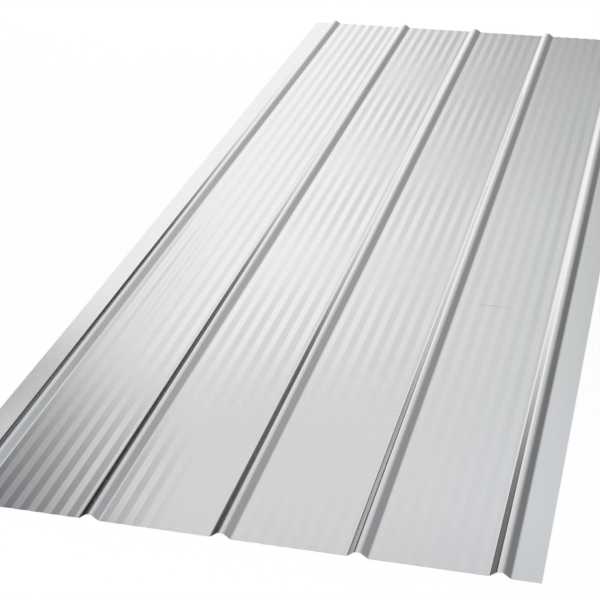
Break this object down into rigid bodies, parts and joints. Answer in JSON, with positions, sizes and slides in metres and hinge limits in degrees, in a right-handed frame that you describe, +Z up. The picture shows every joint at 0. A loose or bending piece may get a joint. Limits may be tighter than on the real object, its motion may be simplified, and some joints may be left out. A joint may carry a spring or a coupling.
{
  "type": "ribbed metal roofing sheet",
  "caption": "Thin galvanised steel sheet with low round-crowned ribs along its length, shallow flutes in the pans between them and a plain flat flange along each side.",
  "frame": {"origin": "middle of the sheet's footprint, on the plane that its pans and flanges rest on", "axes": "+Y along the ribs, +X across the width, +Z up out of the ribbed face"},
  "size_m": [0.91, 2.44, 0.0094],
  "materials": {
    "galvanised_steel": "bright hot-dip galvanised, satin to semi-gloss, with a fine rolling grain along the length"
  },
  "bodies": {
    "root": {"ribbed_sheet": "galvanised_steel"}
  },
  "joints": []
}
